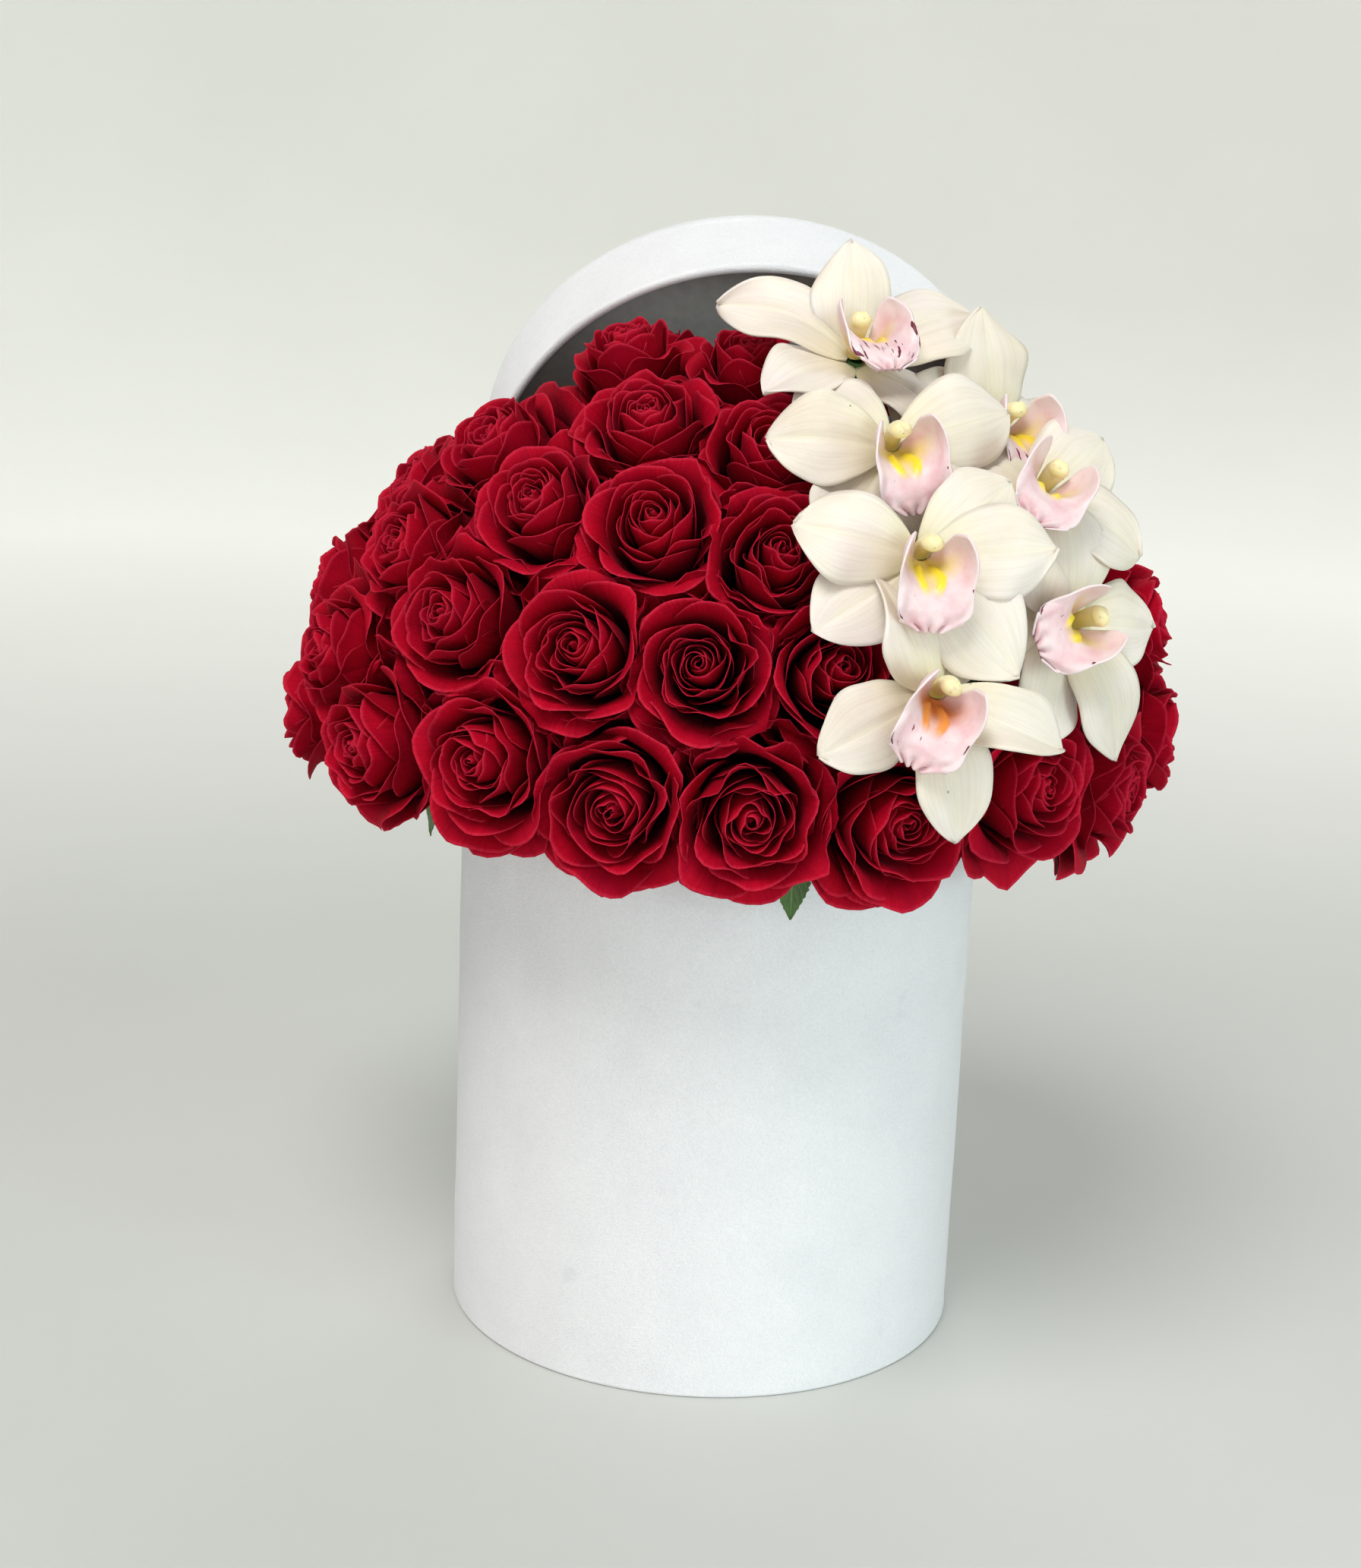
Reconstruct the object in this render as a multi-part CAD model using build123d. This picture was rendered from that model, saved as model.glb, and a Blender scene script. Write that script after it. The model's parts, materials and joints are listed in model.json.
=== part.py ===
from build123d import *
import os
from math import cos, radians, sin

# A round velvet-covered hat box that holds a dome of roses and orchids, with its lid propped open behind.
# Millimetres. +Z is up, the front faces -Y, and the origin is the centre of the box's underside.

# Sheet materials
BOARD = 2.4
VELVET = 0.8
PAPER = 0.4

# Box
BOX_RADIUS = 100.0
BOX_HEIGHT = 220.0
BOX_HEM = 16.0
UNDERSIDE_RADIUS = 86.0

# Lid: its own axis runs from the mouth to the top panel
LID_RADIUS = 105.0
LID_DEPTH = 40.0
LID_HEM = 10.0
LID_TOP_CENTRE = (2.4, 84.0, 331.0)
LID_RISE = 25.5
LID_TURN = 5.0
SKEWER_RADIUS = 1.75
SKEWER_LENGTH = 92.0
SKEWER_TIP = 7.0
SKEWER_SPACING = 58.0
SKEWER_DROP = 58.0
SKEWER_CLEARANCE = 0.2
GLUE_RADIUS = 6.0
GLUE_HEIGHT = 4.0

# Waterproof liner and foam
LINER_RADIUS = 95.4
LINER_WALL = 0.8
LINER_TOP = 211.0
FOAM_GAP = 0.5
FOAM_JOINT = 205.0
FOAM_DOME_RADIUS = 84.0
FOAM_DOME_SHOULDER = 245.0
FOAM_DOME_HEIGHT = 74.0

# Flower dome: rose faces lie on an ellipsoid about FOCUS, and every stem points at STEM_AIM
FOCUS = (0.0, 0.0, 245.0)
STEM_AIM = Vector(0.0, 0.0, 240.0)
ROSE_DOME = (168.0, 146.0)
ORCHID_DOME = (180.0, 160.0)
ROSE_DEPTH = 52.0
ROSE_NECK = 6.0
HIP_LENGTH = 11.0
HIP_RADIUS = 5.5
STEM_RADIUS = 2.6
STEM_LENGTH = 44.0
TEPAL_REACH = 29.0
TEPAL_WIDTH = 19.0
TEPAL_THICK = 2.4
TEPAL_SLOPE = 14.0
PEDICEL_RADIUS = 1.8
PEDICEL_LENGTH = 108.0

# Roses: azimuth from the front (positive to +X), elevation, head diameter, and lift off the rose dome
ROSES = {
    "rose_01": [(-51, -1, 44, 0)],
    "rose_02": [(-30, 1, 47, 0)],
    "rose_03": [(-13, -3, 46, 0)],
    "rose_04": [(4, -3, 46, 0)],
    "rose_05": [(22, -4, 48, 0)],
    "rose_06": [(42, -1, 48, 0)],
    "rose_07": [(63, -5, 48, 0)],
    "rose_08": [(83, -1, 44, 4)],
    "rose_09": [(-65, 10, 40, 0)],
    "rose_10": [(-39, 20, 44, 0)],
    "rose_11": [(-19, 18, 41, 0)],
    "rose_12": [(-3, 17, 41, 0)],
    "rose_13": [(14, 17, 42, 0)],
    "rose_14": [(80, 17, 42, 4)],
    "rose_15": [(-55, 28, 41, -2)],
    "rose_16": [(-76, 36, 42, -9)],
    "rose_17": [(-32, 38, 41, 0)],
    "rose_18": [(-12, 37, 41, 0)],
    "rose_19": [(7, 33, 41, 0)],
    "rose_20": [(-56, 48, 40, -4)],
    "rose_21": [(-20, 55, 41, 0)],
    "rose_22": [(7, 51, 41, 0)],
    "rose_23": [(-50, 71, 34, 3)],
    "rose_24": [(4, 72, 34, 2)],
    "roses_left_low": [(-84, -3, 44, 0), (-102, -2, 46, 0), (-119, -2, 46, 0), (-136, -1, 44, 0)],
    "roses_left_middle": [(-86, 17, 42, -4), (-107, 16, 44, -2)],
    "roses_left_high": [(-98, 36, 38, -10)],
    "roses_right_low": [(102, -2, 46, 0), (119, -2, 46, 0), (136, -1, 44, 0)],
    "roses_right_middle": [(98, 18, 42, 0), (114, 16, 42, -2)],
    "roses_right_high": [(79, 36, 40, 0), (99, 37, 38, -4)],
    "roses_under_lid": [(-118, 76, 32, -6), (60, 73, 34, -6)],
}

# Orchids: azimuth, elevation, lift above the orchid dome, and roll about the stem
ORCHIDS = {
    "orchid_1": (31, 62, 0, 6),
    "orchid_2": (25, 43, 0, 0),
    "orchid_3": (24, 28, 4, 0),
    "orchid_4": (68, 44, -4, 20),
    "orchid_5": (48, 36, 3, 10),
    "orchid_6": (47, 15, -4, 4),
    "orchid_7": (24, 10, 0, 0),
}

# Leaves under the lowest roses: azimuth and radius of the leaf's top, its height, length and lean outwards
LEAVES = [(13, 112, 224, 34, 8), (-66, 110, 226, 30, 14), (-128, 110, 226, 32, 16), (128, 110, 226, 32, 16)]
LEAF_WIDTH = 15.0
LEAF_THICK = 0.9

os.makedirs("parts", exist_ok=True)


def save(node, shapes):
    """Write one node as a STEP file; a list of solids becomes a group."""
    solids = shapes if isinstance(shapes, list) else [shapes]
    flat = [solid for shape in solids for solid in shape.solids()]
    export_step(flat[0] if len(flat) == 1 else Compound(children=flat), f"parts/{node}.step")


def ring(inner, outer, low, high):
    """A tube about Z between two radii and two heights."""
    tube = Pos(0, 0, low) * Cylinder(outer, high - low, align=(Align.CENTER, Align.CENTER, Align.MIN))
    if inner > 0:
        tube -= Pos(0, 0, low) * Cylinder(inner, high - low, align=(Align.CENTER, Align.CENTER, Align.MIN))
    return tube


def turned(points):
    """A solid turned about Z from a closed outline of (radius, height) points."""
    outline = Polyline(*[(radius, 0, height) for radius, height in points], close=True)
    return revolve(make_face(outline), Axis.Z, 360)


def dome_direction(azimuth, elevation):
    flat = cos(radians(elevation))
    return Vector(flat * sin(radians(azimuth)), -flat * cos(radians(azimuth)), sin(radians(elevation)))


def flower_plane(azimuth, elevation, dome, lift=0.0):
    """A plane at the flower's face, its Z pointing outwards along the stem."""
    way = dome_direction(azimuth, elevation)
    side, top = dome
    face = Vector(FOCUS[0] + side * way.X, FOCUS[1] + side * way.Y, FOCUS[2] + top * way.Z)
    outward = (face - STEM_AIM).normalized()
    across = Vector(cos(radians(azimuth)), sin(radians(azimuth)), 0)
    return Plane(origin=face + outward * lift, x_dir=across, z_dir=outward)


def box_parts():
    tube_outer = BOX_RADIUS - VELVET
    tube_inner = tube_outer - BOARD
    floor_top = VELVET + BOARD
    hem_low = BOX_HEIGHT - BOX_HEM
    save("box_wall", ring(tube_inner, tube_outer, VELVET, BOX_HEIGHT - VELVET))
    save("box_base", ring(0, tube_inner, VELVET, floor_top))
    wrap = turned(
        [
            (UNDERSIDE_RADIUS, 0),
            (BOX_RADIUS, 0),
            (BOX_RADIUS, BOX_HEIGHT),
            (tube_inner - VELVET, BOX_HEIGHT),
            (tube_inner - VELVET, hem_low),
            (tube_inner, hem_low),
            (tube_inner, BOX_HEIGHT - VELVET),
            (tube_outer, BOX_HEIGHT - VELVET),
            (tube_outer, VELVET),
            (UNDERSIDE_RADIUS, VELVET),
        ]
    )
    save("box_velvet_wrap", wrap)
    save("box_underside_velvet", ring(0, UNDERSIDE_RADIUS, 0, VELVET))
    save("box_inner_lining", ring(tube_inner - PAPER, tube_inner, floor_top, hem_low))
    save("box_floor_lining", ring(0, tube_inner - PAPER, floor_top, floor_top + PAPER))


def lid_plane():
    """The mouth plane of the lid: its Z points back and up to the top panel, and its Y up the panel."""
    rise, turn = radians(LID_RISE), radians(LID_TURN)
    back = Vector(-sin(turn) * cos(rise), cos(turn) * cos(rise), sin(rise))
    across = Vector(-cos(turn), -sin(turn), 0)
    return Plane(origin=Vector(*LID_TOP_CENTRE) - back * LID_DEPTH, x_dir=across, z_dir=back)


def skewer_places():
    """Where the skewers leave the lid's top lining, in the lid's own frame."""
    start = LID_DEPTH - VELVET - BOARD - PAPER
    return [(side * SKEWER_SPACING / 2, -SKEWER_DROP, start) for side in (-1, 1)]


def skewer(radius, length, tip):
    """A pointed stick running down -Z from the origin."""
    return turned([(0, 0), (radius, 0), (radius, tip - length), (radius / 8, -length), (0, -length)])


def lid_parts():
    tube_outer = LID_RADIUS - VELVET
    tube_inner = tube_outer - BOARD
    top_low = LID_DEPTH - VELVET - BOARD
    place = lid_plane().location
    save("lid_wall", place * ring(tube_inner, tube_outer, VELVET, LID_DEPTH - VELVET))
    save("lid_top_board", place * ring(0, tube_inner, top_low, LID_DEPTH - VELVET))
    wrap = turned(
        [
            (tube_inner - VELVET, 0),
            (LID_RADIUS, 0),
            (LID_RADIUS, LID_DEPTH - VELVET),
            (tube_outer, LID_DEPTH - VELVET),
            (tube_outer, VELVET),
            (tube_inner, VELVET),
            (tube_inner, LID_HEM),
            (tube_inner - VELVET, LID_HEM),
        ]
    )
    save("lid_velvet_wrap", place * wrap)
    save("lid_top_velvet", place * ring(0, LID_RADIUS, LID_DEPTH - VELVET, LID_DEPTH))
    lining = turned(
        [
            (tube_inner - PAPER, LID_HEM),
            (tube_inner, LID_HEM),
            (tube_inner, top_low),
            (0, top_low),
            (0, top_low - PAPER),
            (tube_inner - PAPER, top_low - PAPER),
        ]
    )
    save("lid_lining", place * lining)
    sticks = [place * Pos(*at) * skewer(SKEWER_RADIUS, SKEWER_LENGTH, SKEWER_TIP) for at in skewer_places()]
    save("lid_skewers", sticks)
    dab = turned(
        [
            (SKEWER_RADIUS, 0),
            (GLUE_RADIUS, 0),
            (GLUE_RADIUS * 0.8, -GLUE_HEIGHT * 0.5),
            (SKEWER_RADIUS, -GLUE_HEIGHT),
        ]
    )
    save("skewer_glue", [place * Pos(*at) * dab for at in skewer_places()])


def foam_parts():
    liner_bottom = VELVET + BOARD + PAPER
    foam_bottom = liner_bottom + LINER_WALL
    cup = ring(0, LINER_RADIUS, liner_bottom, LINER_TOP)
    cup -= ring(0, LINER_RADIUS - LINER_WALL, foam_bottom, LINER_TOP)
    save("waterproof_liner", cup)
    save("foam_block", ring(0, LINER_RADIUS - LINER_WALL - FOAM_GAP, foam_bottom, FOAM_JOINT))
    sides = Polyline(
        (FOAM_DOME_RADIUS, 0, FOAM_DOME_SHOULDER),
        (FOAM_DOME_RADIUS, 0, FOAM_JOINT),
        (0, 0, FOAM_JOINT),
        (0, 0, FOAM_DOME_SHOULDER + FOAM_DOME_HEIGHT),
    )
    crown = EllipticalCenterArc((0, 0, 0), FOAM_DOME_RADIUS, FOAM_DOME_HEIGHT, start_angle=0, arc_size=90)
    crown = Pos(0, 0, FOAM_DOME_SHOULDER) * Rot(90, 0, 0) * crown
    dome = revolve(make_face([*sides.edges(), *crown.edges()]), Axis.Z, 360)
    place = lid_plane().location
    hole = Cylinder(
        SKEWER_RADIUS + SKEWER_CLEARANCE, SKEWER_LENGTH + 1, align=(Align.CENTER, Align.CENTER, Align.MAX)
    )
    for at in skewer_places():
        dome -= place * Pos(*at) * hole
    save("foam_dome", dome)


def rose_head(diameter):
    """A closed cup of petals: face centre at the origin, neck at -Z."""
    half = diameter / 2
    side = Spline(
        (ROSE_NECK, 0, -ROSE_DEPTH),
        (half * 0.55, 0, -ROSE_DEPTH * 0.84),
        (half * 0.81, 0, -ROSE_DEPTH * 0.56),
        (half, 0, -ROSE_DEPTH * 0.16),
    )
    rest = Polyline(
        (half, 0, -ROSE_DEPTH * 0.16),
        (half * 0.86, 0, -ROSE_DEPTH * 0.09),
        (half * 0.55, 0, -ROSE_DEPTH * 0.03),
        (0, 0, 0),
        (0, 0, -ROSE_DEPTH),
        (ROSE_NECK, 0, -ROSE_DEPTH),
    )
    return revolve(make_face([*side.edges(), *rest.edges()]), Axis.Z, 360)


def hip():
    """The green swelling between the petals and the stem."""
    low = -ROSE_DEPTH - HIP_LENGTH
    return turned(
        [
            (0, -ROSE_DEPTH),
            (HIP_RADIUS * 0.95, -ROSE_DEPTH),
            (HIP_RADIUS, -ROSE_DEPTH - HIP_LENGTH * 0.4),
            (STEM_RADIUS, low),
            (0, low),
        ]
    )


def rose_parts():
    hips = []
    stems = []
    stem = Pos(0, 0, -ROSE_DEPTH - HIP_LENGTH) * Cylinder(
        STEM_RADIUS, STEM_LENGTH, align=(Align.CENTER, Align.CENTER, Align.MAX)
    )
    for node, places in ROSES.items():
        heads = []
        for azimuth, elevation, diameter, lift in places:
            at = flower_plane(azimuth, elevation, ROSE_DOME, lift).location
            heads.append(at * rose_head(diameter))
            hips.append(at * hip())
            stems.append(at * stem)
        save(node, heads)
    save("rose_hips", hips)
    save("rose_stems", stems)


def tepal(turn):
    """One flat petal, sloping back from the bloom's centre."""
    blade = extrude(Pos(TEPAL_REACH / 2 + 1, 0) * Ellipse(TEPAL_REACH / 2, TEPAL_WIDTH / 2), TEPAL_THICK)
    return Rot(0, 0, turn) * Rot(0, TEPAL_SLOPE, 0) * blade


def orchid_bloom():
    """Five petals round a short cup, with a forward lip below the middle."""
    bloom = Cylinder(6, 5, align=(Align.CENTER, Align.CENTER, Align.CENTER))
    for turn in (90, 18, 162, 234, 306):
        bloom += tepal(turn)
    lip = Pos(0, -7, 4) * Rot(35, 0, 0) * Box(15, 13, 3)
    column = Pos(0, 2, 6) * Cylinder(3.2, 12)
    return bloom + lip + column


def orchid_parts():
    pedicels = []
    bloom = orchid_bloom()
    pedicel = Pos(0, 0, -2.5) * Cylinder(
        PEDICEL_RADIUS, PEDICEL_LENGTH, align=(Align.CENTER, Align.CENTER, Align.MAX)
    )
    for node, (azimuth, elevation, lift, roll) in ORCHIDS.items():
        at = flower_plane(azimuth, elevation, ORCHID_DOME, lift).location * Rot(0, 0, roll)
        save(node, at * bloom)
        pedicels.append(at * pedicel)
    save("orchid_pedicels", pedicels)


def leaf_parts():
    """Thin pointed leaves that hang beside the box's rim."""
    blades = []
    for azimuth, radius, height, length, lean in LEAVES:
        half = LEAF_WIDTH / 2
        left = ThreePointArc((0, 0), (-half, -length * 0.4), (0, -length))
        right = ThreePointArc((0, -length), (half, -length * 0.4), (0, 0))
        blade = extrude(make_face([*left.edges(), *right.edges()]), LEAF_THICK)
        outward = dome_direction(azimuth, 0)
        face = Plane(
            origin=Vector(outward.X * radius, outward.Y * radius, height),
            x_dir=Vector(cos(radians(azimuth)), sin(radians(azimuth)), 0),
            z_dir=outward,
        )
        blades.append(face.location * Rot(-lean, 0, 0) * blade)
    save("rose_leaves", blades)


box_parts()
lid_parts()
foam_parts()
rose_parts()
orchid_parts()
leaf_parts()
print("lid axis", lid_plane().z_dir)
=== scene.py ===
import json
from math import cos, pi, radians, sin

import bpy
import numpy as np
from mathutils import Matrix, Vector


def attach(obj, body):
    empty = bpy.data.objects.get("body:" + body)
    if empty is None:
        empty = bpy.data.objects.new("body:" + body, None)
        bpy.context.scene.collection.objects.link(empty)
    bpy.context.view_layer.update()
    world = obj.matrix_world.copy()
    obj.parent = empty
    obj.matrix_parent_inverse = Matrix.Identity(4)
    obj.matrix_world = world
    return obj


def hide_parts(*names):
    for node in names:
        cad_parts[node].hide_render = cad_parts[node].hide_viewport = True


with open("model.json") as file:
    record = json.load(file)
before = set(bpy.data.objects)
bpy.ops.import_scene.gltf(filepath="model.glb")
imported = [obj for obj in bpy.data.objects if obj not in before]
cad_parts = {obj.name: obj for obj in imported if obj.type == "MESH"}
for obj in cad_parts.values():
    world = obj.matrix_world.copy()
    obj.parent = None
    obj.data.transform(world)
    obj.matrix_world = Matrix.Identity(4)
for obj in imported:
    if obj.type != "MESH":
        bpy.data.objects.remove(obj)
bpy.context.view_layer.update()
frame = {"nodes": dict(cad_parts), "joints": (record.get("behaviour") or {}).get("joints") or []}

MM = 0.001
GOLDEN_ANGLE = radians(137.508)
STEM_AIM = np.array([0.0, 0.0, 0.240])   # every flower stem points at this place in the foam


# ---------------------------------------------------------------- camera, light and floor

def place_camera():
    """The camera stands in front of the box and looks a little down."""
    pitch, yaw, roll = radians(13.74), radians(-0.94), radians(2.28)
    ahead = Vector((sin(yaw) * cos(pitch), cos(yaw) * cos(pitch), -sin(pitch)))
    level = Vector((cos(yaw), -sin(yaw), 0))
    upright = level.cross(ahead)
    right = level * cos(roll) + upright * sin(roll)
    up = upright * cos(roll) - level * sin(roll)
    camera = bpy.data.objects.new("camera", bpy.data.cameras.new("camera"))
    camera.data.sensor_width = 36
    camera.data.lens = 57.5
    camera.data.clip_end = 50
    turn = Matrix((right, up, -ahead)).transposed().to_4x4()
    camera.matrix_world = Matrix.Translation((0, -0.9474, 0.4411)) @ turn
    bpy.context.scene.collection.objects.link(camera)
    bpy.context.scene.camera = camera


def area_light(name, place, aim, size, power, colour, spread=180):
    light = bpy.data.lights.new(name, "AREA")
    light.shape = "DISK"
    light.size = size
    light.energy = power
    light.spread = radians(spread)
    light.color = colour
    lamp = bpy.data.objects.new(name, light)
    lamp.location = place
    lamp.rotation_euler = (Vector(aim) - Vector(place)).to_track_quat("-Z", "Y").to_euler()
    bpy.context.scene.collection.objects.link(lamp)


def place_lights():
    middle = (0, 0, 0.25)
    area_light("key_light", (-0.35, -1.15, 1.95), middle, 1.0, 29.5, (1.0, 0.99, 0.97))
    area_light("cool_light", (1.5, -1.1, 0.45), (0, 0, 0.05), 0.7, 2.6, (0.68, 0.96, 1.0), 100)
    area_light("violet_light", (-1.6, -1.0, 0.4), middle, 0.9, 1.2, (0.92, 0.86, 1.0))
    area_light("low_light", (0.25, -1.6, 0.42), (0, 0, 0.05), 0.7, 1.2, (0.98, 0.97, 1.0), 100)
    area_light("back_light", (0.3, 1.6, 1.6), middle, 1.2, 10, (1.0, 1.0, 1.0))
    world = bpy.data.worlds.new("studio")
    world.use_nodes = True
    world.node_tree.nodes["Background"].inputs["Color"].default_value = (0.90, 0.91, 0.90, 1)
    world.node_tree.nodes["Background"].inputs["Strength"].default_value = 0.30
    bpy.context.scene.world = world
    bpy.context.scene.view_settings.view_transform = "Standard"


# ---------------------------------------------------------------- materials

def new_material(name):
    """A material with its Principled shader and a helper that adds and links nodes."""
    material = bpy.data.materials.new(name)
    material.use_nodes = True
    tree = material.node_tree
    shader = tree.nodes["Principled BSDF"]

    def add(kind, inputs=None, **settings):
        node = tree.nodes.new(kind)
        for key, value in settings.items():
            setattr(node, key, value)
        for key, value in (inputs or {}).items():
            if isinstance(value, bpy.types.NodeSocket):
                tree.links.new(value, node.inputs[key])
            else:
                node.inputs[key].default_value = value
        return node

    def link(socket, name):
        tree.links.new(socket, shader.inputs[name])

    return material, shader, add, link


def noise(add, scale, detail=4.0, vector=None, roughness=0.55):
    inputs = {"Scale": scale, "Detail": detail, "Roughness": roughness}
    if vector is not None:
        inputs["Vector"] = vector
    return add("ShaderNodeTexNoise", inputs).outputs["Fac"]


def ramp(add, fac, stops):
    """A colour ramp with (position, colour) stops; a plain number is a grey."""
    node = add("ShaderNodeValToRGB", {"Fac": fac})
    points = node.color_ramp.elements
    while len(points) < len(stops):
        points.new(0.5)
    for point, (position, colour) in zip(points, stops):
        point.position = position
        point.color = (*colour, 1) if isinstance(colour, tuple) else (colour, colour, colour, 1)
    return node.outputs["Color"]


def mix(add, fac, a, b, blend="MIX"):
    """Mixes two colours; a plain tuple is a constant colour."""
    node = add("ShaderNodeMix", data_type="RGBA", blend_type=blend)
    tree = node.id_data
    for index, value in ((0, fac), (6, a), (7, b)):
        if isinstance(value, bpy.types.NodeSocket):
            tree.links.new(value, node.inputs[index])
        else:
            node.inputs[index].default_value = (*value, 1) if isinstance(value, tuple) else value
    return node.outputs[2]


def compute(add, operation, *values):
    return add("ShaderNodeMath", dict(enumerate(values)), operation=operation).outputs[0]


def attribute(add, name, output="Vector"):
    return add("ShaderNodeAttribute", attribute_name=name).outputs[output]


def object_place(add):
    return add("ShaderNodeTexCoord").outputs["Object"]


def stretched(add, vector, scale):
    return add("ShaderNodeMapping", {"Vector": vector, "Scale": scale}).outputs["Vector"]


def bump(add, height, strength, distance):
    node = add("ShaderNodeBump", {"Height": height, "Strength": strength, "Distance": distance})
    return node.outputs["Normal"]


def velvet_material():
    """Short white nap: faint patches where the pile leans, a fine grain of fibres and a few dull marks."""
    material, shader, add, link = new_material("white_velvet")
    place = object_place(add)
    patches = noise(add, 26, 7, place, 0.62)
    tone = ramp(add, patches, [(0.32, (0.83, 0.83, 0.85)), (0.50, (0.86, 0.86, 0.88)),
                               (0.66, (0.885, 0.885, 0.90))])
    marks_at = noise(add, 62, 2, place, 0.5)
    marks = ramp(add, marks_at, [(0.72, 1), (0.80, (0.94, 0.94, 0.95))])
    grain = noise(add, 1100, 4, place, 0.75)
    speck = ramp(add, grain, [(0.32, (0.87, 0.87, 0.89)), (0.60, 1.0)])
    link(mix(add, 0.7, mix(add, 1.0, tone, marks, "MULTIPLY"), speck, "MULTIPLY"), "Base Color")
    fibres = noise(add, 2600, 2, place, 0.6)
    both = compute(add, "ADD", grain, fibres)
    link(bump(add, both, 0.5, 0.0007), "Normal")
    shader.inputs["Roughness"].default_value = 0.92
    shader.inputs["Specular IOR Level"].default_value = 0.2
    shader.inputs["Sheen Weight"].default_value = 0.35
    shader.inputs["Sheen Roughness"].default_value = 0.45
    shader.inputs["Sheen Tint"].default_value = (1, 1, 1, 1)
    return material


def rose_material():
    """Crimson petal with fine veins, velvety on the face: painted shade turns it near black towards the foot,
    deep among the petals, and a painted sheen highlight lightens its thin rim.
    """
    material, shader, add, link = new_material("rose_petal")
    petal = attribute(add, "petal")
    edge = attribute(add, "edge", "Fac")
    split = add("ShaderNodeSeparateXYZ", {"Vector": petal})
    along = split.outputs["Y"]
    veins_at = stretched(add, petal, (26.0, 2.2, 9.0))
    veins = noise(add, 1.0, 4, veins_at, 0.6)
    place = object_place(add)
    cloud = noise(add, 60, 3, place)
    # Painted shade: the petal's colour falls to near black towards its foot, where the rose's deep gaps lie
    # in shade.
    body = ramp(add, along, [(0.30, (0.015, 0.0001, 0.0004)), (0.62, (0.12, 0.0006, 0.003)),
                             (0.82, (0.35, 0.0014, 0.0115)), (1.0, (0.47, 0.0025, 0.020))])
    streaks = ramp(add, veins, [(0.30, (0.60, 0.50, 0.62)), (0.62, 1.0)])
    veined = mix(add, 0.6, body, streaks, "MULTIPLY")
    patches = ramp(add, cloud, [(0.42, 0), (0.75, 0.35)])
    tinted = mix(add, patches, veined, (0.17, 0.002, 0.020))
    # Painted highlight: the thin rims are lightened to pale pink, standing in for sheen along the petal
    # edges, broken up by the veins.
    rim = ramp(add, edge, [(0.40, 0), (1.0, 0.60)])
    gaps = ramp(add, veins, [(0.35, 0.45), (0.65, 1)])
    broken_rim_highlight = mix(add, 1.0, rim, gaps, "MULTIPLY")
    link(mix(add, broken_rim_highlight, tinted, (0.62, 0.030, 0.068)), "Base Color")
    grain = noise(add, 1500, 2, place)
    height = compute(add, "ADD", veins, grain)
    link(bump(add, height, 0.30, 0.0005), "Normal")
    shader.inputs["Roughness"].default_value = 0.70
    shader.inputs["Specular IOR Level"].default_value = 0.04
    shader.inputs["Sheen Weight"].default_value = 0.05
    shader.inputs["Sheen Roughness"].default_value = 0.40
    shader.inputs["Sheen Tint"].default_value = (1.0, 0.12, 0.22, 1)
    return material


def tepal_material():
    """Orchid tepal: waxy cream white, warmer at its heart and keel, with faint veins and a few specks."""
    material, shader, add, link = new_material("orchid_tepal")
    petal = attribute(add, "petal")
    split = add("ShaderNodeSeparateXYZ", {"Vector": petal})
    across = compute(add, "ABSOLUTE", split.outputs["X"])
    place = object_place(add)
    cloud = noise(add, 38, 3, place)
    base = ramp(add, cloud, [(0.35, (0.76, 0.672, 0.56)), (0.58, (0.80, 0.722, 0.64)),
                             (0.75, (0.79, 0.69, 0.65))])
    heart = ramp(add, split.outputs["Y"], [(0.05, 0.85), (0.45, 0)])
    warmed = mix(add, heart, base, (0.81, 0.735, 0.50))
    keel = ramp(add, across, [(0.0, 0.35), (0.16, 0)])
    keeled = mix(add, keel, warmed, (0.81, 0.76, 0.56))
    veins_at = stretched(add, petal, (16.0, 1.6, 7.0))
    veins = noise(add, 1.0, 4, veins_at, 0.55)
    streaks = ramp(add, veins, [(0.32, (0.84, 0.82, 0.78)), (0.58, 1)])
    veined = mix(add, 0.45, keeled, streaks, "MULTIPLY")
    cells = {"Vector": place, "Scale": 95.0, "Randomness": 1.0}
    speck = add("ShaderNodeTexVoronoi", cells).outputs["Distance"]
    rare = noise(add, 55, 1, place)
    small = compute(add, "LESS_THAN", speck, 0.055)
    chosen = compute(add, "GREATER_THAN", rare, 0.60)
    spots = compute(add, "MULTIPLY", small, chosen)
    link(mix(add, spots, veined, (0.42, 0.36, 0.28)), "Base Color")
    grain = noise(add, 1300, 2, place)
    height = compute(add, "ADD", veins, grain)
    link(bump(add, height, 0.22, 0.0005), "Normal")
    shader.inputs["Roughness"].default_value = 0.48
    shader.inputs["Specular IOR Level"].default_value = 0.35
    shader.inputs["Subsurface Weight"].default_value = 0.25
    shader.inputs["Subsurface Radius"].default_value = (1.0, 0.8, 0.5)
    shader.inputs["Subsurface Scale"].default_value = 0.003
    return material


def dash_mask(add, petal, along, spots):
    """Where a lip's front lobe has its burgundy dashes: more of them with more spots."""
    dashes = noise(add, 1.0, 2, stretched(add, petal, (9.0, 5.0, 3.0)), 0.5)
    zone = ramp(add, along, [(0.56, 0), (0.66, 1), (0.88, 1), (0.96, 0)])
    amount = compute(add, "MULTIPLY_ADD", spots, 0.34, 0.66)
    ready = compute(add, "MULTIPLY", zone, amount)
    above = compute(add, "MULTIPLY", dashes, ready)
    return ramp(add, above, [(0.585, 0), (0.60, 1)])


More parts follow.
